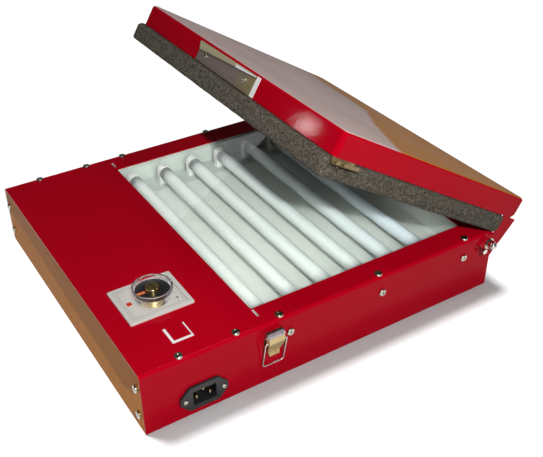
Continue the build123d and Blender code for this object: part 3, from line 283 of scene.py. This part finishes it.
world = bpy.data.worlds.new("studio")
bpy.context.scene.world = world
world.use_nodes = True
sky = world.node_tree.nodes["Background"]
sky.inputs["Color"].default_value = (0.97, 0.98, 1.0, 1)
sky_path = world.node_tree.nodes.new("ShaderNodeLightPath")
seen_straight = world.node_tree.nodes.new("ShaderNodeMath")
seen_straight.operation = "MAXIMUM"
sky_fill = 0.08
sky_strength = world.node_tree.nodes.new("ShaderNodeMapRange")
sky_strength.inputs["To Min"].default_value = sky_fill
for start, end in (
    (sky_path.outputs["Is Camera Ray"], seen_straight.inputs[0]),
    (sky_path.outputs["Is Transmission Ray"], seen_straight.inputs[1]),
    (seen_straight.outputs[0], sky_strength.inputs["Value"]),
    (sky_strength.outputs[0], sky.inputs["Strength"]),
):
    world.node_tree.links.new(start, end)
print("floor laid")

# %% [markdown]
# The box and the lid's pan are coated in glossy red. A real coat is never one flat red: it
# drifts a little, its gloss is uneven where hands have wiped it, and it has a fine orange
# peel that only shows in highlights. Three noises at three sizes make those three things. The
# short slits at the opening's corners were cut after coating, so their edges are bare and pale.

# %% Red coat
red_coat = Finish("red_coat")
red_tone = red_coat.mix(red_coat.grain(7, 4), (0.42, 0.0, 0.008), (0.52, 0.001, 0.014))
slit_x, slit_y = -0.0788, 0.166
slit_half_width, slit_half_length = (0.0009, 0.0012), (0.0049, 0.0055)
from_slit_x = red_coat.axis("X") - slit_x
from_slit_y = red_coat.sum("ABSOLUTE", red_coat.axis("Y")) - slit_y
beside_slit = red_coat.within(from_slit_x, *slit_half_width)
near_slit = beside_slit * red_coat.within(from_slit_y, *slit_half_length)
bare_edge = (0.82, 0.74, 0.74)
red_coat.paint(
    Base_Color=red_coat.mix(near_slit, red_tone, bare_edge),
    Roughness=0.015 + 0.06 * red_coat.grain(35, 5),
    Specular_IOR_Level=0.04,
)
red_coat.bump(red_coat.grain(420, 2), 0.05, 0.0006)
print("red coat mixed")

# %% [markdown]
# The left end panel is tan coated sheet. Its lower part is a lighter strip with a soft upper edge, and that strip
# is a painted reflection. The darker tan above it is painted shade under the wrap's overhang, together with a
# darker painted reflection. The strip is painted by height, so it stays put from any side, and a bent line says
# how much of the panel's height it takes at each place along the panel.

# %% Tan end panel
tan_sheet = Finish("tan_sheet")
box_low, box_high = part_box("housing_wrap")
box_depth = box_high.y - box_low.y
panel_y = (tan_sheet.axis("Y") - box_low.y) * (1 / box_depth)
# Where the painted reflection strip ends, as a share of the panel's height; above it is painted shade.
reflection_top = tan_sheet.line(
    panel_y, (0.0, 0.75), (0.043, 0.62), (0.094, 0.40), (0.118, 0.35), (0.274, 0.42),
    (0.487, 0.45), (0.723, 0.56), (0.954, 0.59),
)
reflection_edge = (-0.002, 0.003)
painted_shade_above = tan_sheet.rise(tan_sheet.axis("Z") - box_high.z * reflection_top, *reflection_edge)
brushed = tan_sheet.grain(60, 4, (1.0, 0.15, 2.0))
# The light tan is the painted reflection and the dark tan is the painted shade above it.
reflected_light_tan = tan_sheet.mix(brushed, (0.90, 0.29, 0.012), (0.98, 0.36, 0.03))
shaded_dark_tan = tan_sheet.mix(brushed, (0.56, 0.18, 0.008), (0.66, 0.23, 0.016))
tan_sheet.paint(
    Base_Color=tan_sheet.mix(painted_shade_above, reflected_light_tan, shaded_dark_tan),
    Roughness=0.34 + 0.12 * tan_sheet.grain(90, 3),
    Specular_IOR_Level=0.02,
)
tan_sheet.bump(tan_sheet.grain(500, 2), 0.05, 0.0005)
print("tan panel mixed")

# %% [markdown]
# The lid's cover is a smooth sheet painted in two soft tones that are a painted reflection of its surroundings:
# mauve-grey near the free end and tan towards the hinge. The reflected tones meet on a bent line across the sheet.
# Distances along the lid are measured from its hinge corner. The lid is raised by as much as its hinge can shut
# it.

# %% Painted reflection on the lid's cover
lid_hinge = next(joint for joint in frame["joints"] if joint["name"] == "lid_hinge")
lid_tilt = math.radians(-lid_hinge["range_deg"][0])
lid_along = Vector((-math.cos(lid_tilt), 0.0, math.sin(lid_tilt)))
lid_above = Vector((math.sin(lid_tilt), 0.0, math.cos(lid_tilt)))
lid_corner = Vector((0.2342, 0.0, 0.0782))
cover_length = 0.3
cover_coat = Finish("cover_coat")
cover_across = (cover_coat.axis("Y") - box_low.y) * (1 / box_depth)
cover_along = cover_coat.along(lid_along, lid_corner) * (1 / cover_length)
# The bent line where the two painted reflection tones meet.
reflection_line = cover_coat.line(
    cover_across, (0.0, 0.707), (0.159, 0.583), (0.308, 0.46), (0.54, 0.232), (0.704, 0.18),
    (1.0, 0.12),
)
cover_reflection_boundary = (-0.012, 0.02)
mauve_reflected_side = cover_coat.rise(cover_along - reflection_line, *cover_reflection_boundary)
smears = cover_coat.grain(14, 4, (1.0, 0.35, 1.0))
# Both tones are a painted reflection of the surroundings, not two coats of paint.
reflected_tan = cover_coat.mix(smears, (0.46, 0.165, 0.012), (0.56, 0.22, 0.025))
reflected_mauve = cover_coat.mix(smears, (0.46, 0.31, 0.275), (0.76, 0.58, 0.55))
cover_coat.paint(
    Base_Color=cover_coat.mix(mauve_reflected_side, reflected_tan, reflected_mauve),
    Roughness=0.32 + 0.14 * cover_coat.grain(25, 4),
    Specular_IOR_Level=0.005,
)
cover_coat.bump(cover_coat.grain(300, 2), 0.04, 0.0005)
print("lid cover mixed")

# %% [markdown]
# The metals share one recipe: a tint, a roughness that drifts, and fine scratches drawn out
# along one direction. Only the numbers differ between zinc, plated steel, brass and aluminium.


# %% Metals
def metal(name, low, high, rough, scratch, stretch=(1.0, 1.0, 1.0), metallic=1.0):
    """A metal between two tints, with a roughness and a depth of scratch."""
    tint_scale, gloss_scale, scratch_scale = 160, 420, 900
    finish = Finish(name)
    finish.paint(
        Base_Color=finish.mix(finish.grain(tint_scale, 4, stretch), low, high),
        Metallic=metallic,
        Roughness=rough + 0.14 * finish.grain(gloss_scale, 3, stretch),
    )
    finish.bump(finish.grain(scratch_scale, 3, stretch), scratch, 0.0003)
    return finish


zinc = metal("zinc_plate", (0.30, 0.29, 0.23), (0.62, 0.60, 0.51), 0.14, 0.12)
bright_steel = metal("bright_steel", (0.46, 0.43, 0.40), (0.74, 0.71, 0.67), 0.12, 0.08)
plain_steel = metal(
    "plain_steel", (0.34, 0.34, 0.34), (0.50, 0.50, 0.49), 0.34, 0.15, stretch=(0.1, 1.0, 1.0)
)
brass = metal("brass", (0.55, 0.42, 0.16), (0.78, 0.64, 0.30), 0.2, 0.1)
catch_gold = metal(
    "catch_gold", (0.13, 0.09, 0.04), (0.34, 0.25, 0.11), 0.26, 0.15, stretch=(1.0, 1.0, 0.2),
    metallic=0.4,
)
lamp_cap = metal("lamp_cap", (0.22, 0.225, 0.22), (0.42, 0.43, 0.42), 0.35, 0.15, metallic=0.8)
print("metals mixed")

# %% [markdown]
# The handle strip is plated steel. Its flat part, against the rim, carries a painted mauve reflection that goes
# olive near the front end. The part folded outward above it carries an olive-gold painted reflection. The fold
# slants, so the two meet at a height above the rim that falls along the strip, where a painted shadow darkens the
# crease.

# %% Handle strip
handle_steel = Finish("handle_steel")
strip_low, strip_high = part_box("lid_handle")
strip_rise = handle_steel.along(lid_above, lid_corner)
strip_place = (handle_steel.axis("Y") - strip_low.y) * (1 / (strip_high.y - strip_low.y))
fold_at_front, fold_drop = 0.0189, 0.0077
over_fold = strip_rise - (fold_at_front - fold_drop * strip_place)
rolled = handle_steel.grain(140, 4, (1.0, 0.06, 1.0))
# Mauve, olive and gold are painted reflections on the plated steel.
mauve_reflection = handle_steel.mix(rolled, (0.17, 0.125, 0.11), (0.27, 0.205, 0.185))
olive_reflection = handle_steel.mix(rolled, (0.20, 0.155, 0.07), (0.32, 0.25, 0.12))
gold_reflection = handle_steel.mix(rolled, (0.36, 0.31, 0.15), (0.52, 0.47, 0.30))
olive_starts, olive_full = 0.35, 0.05
near_front = handle_steel.rise(strip_place, olive_starts, olive_full)
flat_reflection = handle_steel.mix(near_front, mauve_reflection, olive_reflection)
fold_edge, crease_shade_half_width = (0.0001, 0.0022), 0.0011
strip_reflection = handle_steel.mix(handle_steel.rise(over_fold, *fold_edge), flat_reflection, gold_reflection)
# A painted shadow darkens the crease where the fold meets the flat part.
crease_shadow = handle_steel.within(over_fold, 0.0, crease_shade_half_width)
handle_steel.paint(
    Base_Color=handle_steel.mix(crease_shadow * 0.85, strip_reflection, (0.03, 0.022, 0.012)),
    Metallic=0.35,
    Roughness=0.3 + 0.16 * handle_steel.grain(500, 3, (1.0, 0.1, 1.0)),
)
handle_steel.bump(handle_steel.grain(900, 2, (1.0, 0.05, 1.0)), 0.1, 0.0003)
print("handle strip mixed")

# %% [markdown]
# Glass and clear plastic bend light on their way to the eye, but a lamp's light should pass
# straight through to what lies below. So the shader turns plainly transparent for shadow rays.


# %% Clear materials
def clear(name, tint, shadow_tint, rough, index):
    """A clear body with a tint, a tint for the light it lets by, and its index of refraction."""
    finish = Finish(name)
    finish.paint(
        Base_Color=tint,
        Roughness=rough + 0.03 * finish.grain(60, 3),
        Transmission_Weight=1.0,
        IOR=index,
    )
    shadow_ray = finish.node("ShaderNodeLightPath", output="Is Shadow Ray")
    through = finish.node("ShaderNodeBsdfTransparent", inputs={0: shadow_tint})
    body = Wire(finish, finish.surface.outputs[0])
    both = finish.node("ShaderNodeMixShader", inputs={0: shadow_ray, 1: body, 2: through})
    finish.tree.links.new(both.socket, finish.output.inputs[0])
    return finish


float_glass = clear("float_glass", (0.96, 0.985, 0.97), (0.96, 0.98, 0.97), 0.0, 1.45)
clear_plastic = clear("clear_plastic", (0.94, 0.89, 0.905), (0.84, 0.81, 0.82), 0.22, 1.46)
print("clear materials mixed")

# %% [markdown]
# The tubes are glass, coated white inside, so from outside they are glossy white and opaque.
# They look warmer at the left and cooler at the right, and each tube greys near its caps.

# %% Tubes
tube_white = Finish("tube_white")
tube_low, tube_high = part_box("lamp_1")
warm_end, cool_end = -0.08, 0.16
tube_x = (tube_white.axis("X") - warm_end) * (1 / (cool_end - warm_end))
tube_tone = tube_white.ramp(
    tube_x, (0.0, (0.62, 0.635, 0.60)), (0.6, (0.62, 0.66, 0.645)), (1.0, (0.58, 0.65, 0.70))
)
from_middle = tube_white.axis("Y") - (tube_low.y + tube_high.y) / 2
grey_starts, grey_full = 0.1225, 0.1404
near_cap = 1 - tube_white.within(from_middle, grey_starts, grey_full)
tube_white.paint(
    Base_Color=tube_white.mix(near_cap * 0.55, tube_tone, (0.30, 0.31, 0.31)),
    Roughness=0.16 + 0.08 * tube_white.grain(50, 3),
    Specular_IOR_Level=0.4,
)
print("tubes mixed")

# %% [markdown]
# The reflector pan under the tubes is coated pale grey-green. Towards the back its bright
# lining ends in a ragged, crinkled edge, beyond which the plain coat shows. The edge is a
# distance along the pan that noise pushes to and fro.

# %% Reflector
reflector_white = Finish("reflector_white")
lining_end = 0.128
ragged = 0.012 * reflector_white.grain(110, 4)
lined = reflector_white.rise(lining_end + ragged - reflector_white.axis("Y"), 0.0, 0.0015)
drift = reflector_white.grain(22, 4)
plain_coat = reflector_white.mix(drift, (0.42, 0.455, 0.42), (0.51, 0.545, 0.505))
mottle = reflector_white.grain(60, 4)
lining = reflector_white.mix(mottle, (0.56, 0.585, 0.55), (0.66, 0.685, 0.64))
crinkles_start, crinkles_full = 0.09, 0.125
toward_back = reflector_white.rise(reflector_white.axis("Y"), crinkles_start, crinkles_full)
crinkles = lined * toward_back
reflector_white.paint(
    Base_Color=reflector_white.mix(lined, plain_coat, lining),
    Roughness=0.42 + 0.2 * reflector_white.grain(80, 3),
    Specular_IOR_Level=0.3,
)
reflector_white.bump(reflector_white.grain(260, 2) * (0.08 + crinkles), 0.5, 0.001)
print("reflector mixed")

# %% [markdown]
# Moulded plastics have a fine spark texture from their mould and a soft uneven gloss.


# %% Plastics, fibre, board and marks
def plastic(name, low, high, rough, pebble, specular=0.5, pebble_scale=700):
    """A plastic between two tints, with a roughness, and pebbles of a depth and a scale."""
    tint_scale, gloss_scale = 45, 120
    finish = Finish(name)
    finish.paint(
        Base_Color=finish.mix(finish.grain(tint_scale, 4), low, high),
        Roughness=rough + 0.15 * finish.grain(gloss_scale, 4),
        Specular_IOR_Level=specular,
    )
    finish.bump(finish.grain(pebble_scale, 2), pebble, 0.0004)
    return finish


white_plastic = plastic("white_plastic", (0.66, 0.655, 0.62), (0.76, 0.75, 0.72), 0.28, 0.06)
black_plastic = plastic("black_plastic", (0.006, 0.006, 0.007), (0.018, 0.018, 0.020), 0.3, 0.2)
red_plastic = plastic("red_plastic", (0.55, 0.03, 0.01), (0.68, 0.06, 0.02), 0.15, 0.03)
orange_plastic = plastic("orange_plastic", (0.75, 0.16, 0.05), (0.85, 0.26, 0.10), 0.2, 0.03)
white_mark = plastic("white_mark", (0.90, 0.89, 0.89), (0.96, 0.95, 0.95), 0.3, 0.04)
wire_cover = plastic("wire_cover", (0.012, 0.012, 0.015), (0.03, 0.03, 0.035), 0.45, 0.1, 0.3)
hard_fibre = plastic("hard_fibre", (0.09, 0.025, 0.012), (0.20, 0.06, 0.03), 0.6, 0.3, 0.2)
fibre_board = plastic("fibre_board", (0.26, 0.17, 0.085), (0.46, 0.33, 0.19), 0.7, 0.5, 0.2, 500)
print("plastics mixed")

# %% [markdown]
# The timer's face is a white moulded plate with two fine lines inside its border, and a black
# dot and two small marks beside the knob. Distances from the plate's middle draw all of them.

# %% Timer face
timer_face = Finish("timer_face")
plate_low, plate_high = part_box("timer_plate")
face_x = timer_face.axis("X") - (plate_low.x + plate_high.x) / 2
face_y = timer_face.axis("Y") - (plate_low.y + plate_high.y) / 2


def spot(x, y, radius, edge=0.0003):
    """1 inside a round spot at a place beside the plate's middle."""
    across, up = face_x - x, face_y - y
    return timer_face.rise(across * across + up * up, (radius + edge) ** 2, (radius - edge) ** 2)


def frame_line(half_length, half_width, thickness):
    """1 on a rectangle's outline round the plate's middle."""
    reach = timer_face.sum("ABSOLUTE", face_x) - half_length
    depth = timer_face.sum("ABSOLUTE", face_y) - half_width
    return timer_face.within(timer_face.sum("MAXIMUM", reach, depth), 0.0, thickness)


face_white = timer_face.mix(timer_face.grain(45, 4), (0.62, 0.60, 0.55), (0.74, 0.71, 0.66))
outer_line, inner_line = frame_line(0.0285, 0.0235, 0.0005), frame_line(0.0262, 0.0212, 0.0004)
lines = timer_face.sum("MAXIMUM", outer_line, inner_line)
marks = spot(0.0219, -0.0139, 0.0011)
for x, y in ((0.0229, -0.0061), (0.0211, -0.0191)):
    marks = marks + 0.5 * spot(x, y, 0.0007)
lined_face = timer_face.mix(lines * 0.55, face_white, (0.20, 0.20, 0.17))
timer_face.paint(
    Base_Color=timer_face.mix(marks, lined_face, (0.02, 0.02, 0.02)),
    Roughness=0.3 + 0.15 * timer_face.grain(120, 4),
)
timer_face.bump(timer_face.grain(700, 2), 0.06, 0.0004)
print("timer face mixed")

# %% [markdown]
# The latch levers are passivated steel: dull gold on the long plate, and a pinkish grey painted reflection where
# the plate bends over its pin. The height above the floor tells the two apart.

# %% Latch levers
latch_gold = Finish("latch_gold")
down_plate = (1.0, 1.0, 0.2)
bend_starts, bend_ends = 0.0590, 0.0605
reflecting_bend = latch_gold.rise(latch_gold.axis("Z"), bend_starts, bend_ends)
plate_grain = latch_gold.grain(160, 4, down_plate)
long_plate = latch_gold.mix(plate_grain, (0.46, 0.32, 0.12), (0.66, 0.50, 0.24))
# The pinkish grey on the bend is a painted reflection.
bend_reflection = latch_gold.mix(latch_gold.grain(300, 3), (0.22, 0.19, 0.20), (0.62, 0.55, 0.58))
latch_gold.paint(
    Base_Color=latch_gold.mix(reflecting_bend, long_plate, bend_reflection),
    Metallic=0.45,
    Roughness=0.22 + 0.14 * latch_gold.grain(420, 3, down_plate),
)
latch_gold.bump(latch_gold.grain(900, 3, down_plate), 0.15, 0.0003)
print("levers mixed")

# %% [markdown]
# Each CAD part names the finish that it takes, so one table gives every part its material.
# The handle strip and the timer's plate have finishes of their own, and the catches under the
# rims are a darker, duller gold than the latch levers.

# %% Dress the parts
finishes = {
    "red_paint": red_coat,
    "bronze_sheet": tan_sheet,
    "cover_sheet": cover_coat,
    "white_coat": reflector_white,
    "zinc": zinc,
    "bright_steel": bright_steel,
    "plain_steel": plain_steel,
    "brass": brass,
    "lever_gold": latch_gold,
    "glass": float_glass,
    "lamp_glass": tube_white,
    "lamp_cap": lamp_cap,
    "white_plastic": white_plastic,
    "black_plastic": black_plastic,
    "clear_plastic": clear_plastic,
    "red_plastic": red_plastic,
    "orange_plastic": orange_plastic,
    "board": fibre_board,
    "fibre": hard_fibre,
    "white_mark": white_mark,
    "wire": wire_cover,
}
for part in frame["record"]["subparts"]:
    if part["material_slot"] in finishes:
        for place in nodes[part["node"]].material_slots:
            place.material = finishes[part["material_slot"]].material
own_finishes = {"lid_handle": handle_steel, "timer_plate": timer_face, "catches": catch_gold}
for name, finish in own_finishes.items():
    nodes[name].material_slots[0].material = finish.material

# %% [markdown]
# The pad is a slab of open-cell foam, cut rather than moulded, so its faces are never quite
# flat. Its CAD solid is remeshed into small even squares, eased round its edges, and pressed
# in by up to a millimetre with noise: long waves and the cells.

# %% Foam slab
foam = bpy.data.objects.new("foam_slab", nodes["foam_pad"].data.copy())
bpy.context.scene.collection.objects.link(foam)
shell = bmesh.new()
shell.from_mesh(foam.data)
bmesh.ops.remove_doubles(shell, verts=shell.verts, dist=1e-5)
shell.to_mesh(foam.data)
shell.free()
squares = foam.modifiers.new("squares", "REMESH")
squares.mode = "VOXEL"
coarse_square, fine_square = 0.005, 0.0025
squares.voxel_size = fine_square
easing = foam.modifiers.new("easing", "SMOOTH")
easing.iterations = 2
ready = foam.evaluated_get(bpy.context.evaluated_depsgraph_get())
slab = bpy.data.meshes.new_from_object(ready)
foam.modifiers.clear()
foam.data = slab
outward = [point.normal.copy() for point in slab.vertices]
deepest, wave_scale, cell_scale = 0.0005, 28, 240
for point, way in zip(slab.vertices, outward):
    waves = 0.5 + 0.5 * noise.noise(point.co * wave_scale)
    cells = 0.5 + 0.5 * noise.noise(point.co * cell_scale)
    point.co -= way * deepest * (waves + cells)
for face in slab.polygons:
    face.use_smooth = True
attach(foam, "lid")
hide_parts("foam_pad")
print("foam squares:", len(slab.polygons))

# %% [markdown]
# Open cells look like fine dark pits between pale struts. The dark in the pits is painted shade, and the struts'
# paleness is painted light. Two noises of different sizes make the pits, a third scatters a few pale sparks of
# painted glint, and all three lift the bump.

# %% Foam finish
foam_finish = Finish("open_cell_foam")
pits = foam_finish.grain(900, 2)
clumps = foam_finish.grain(300, 3)
glint_sparks = foam_finish.rise(foam_finish.grain(1100, 1), 0.60, 0.70)
lit_struts = foam_finish.rise(0.65 * pits + 0.35 * clumps, 0.40, 0.60)
# Dark pits are painted shade and pale struts are painted light, both in the base colour.
cell_shade_and_light = foam_finish.mix(lit_struts, (0.058, 0.050, 0.037), (0.225, 0.200, 0.155))
foam_finish.paint(
    Base_Color=foam_finish.mix(glint_sparks * 0.7, cell_shade_and_light, (0.42, 0.38, 0.32)),
    Roughness=0.9,
    Specular_IOR_Level=0.15,
)
foam_finish.bump(lit_struts + glint_sparks, 0.9, 0.0012)
slab.materials.clear()
slab.materials.append(foam_finish.material)
print("foam dressed")
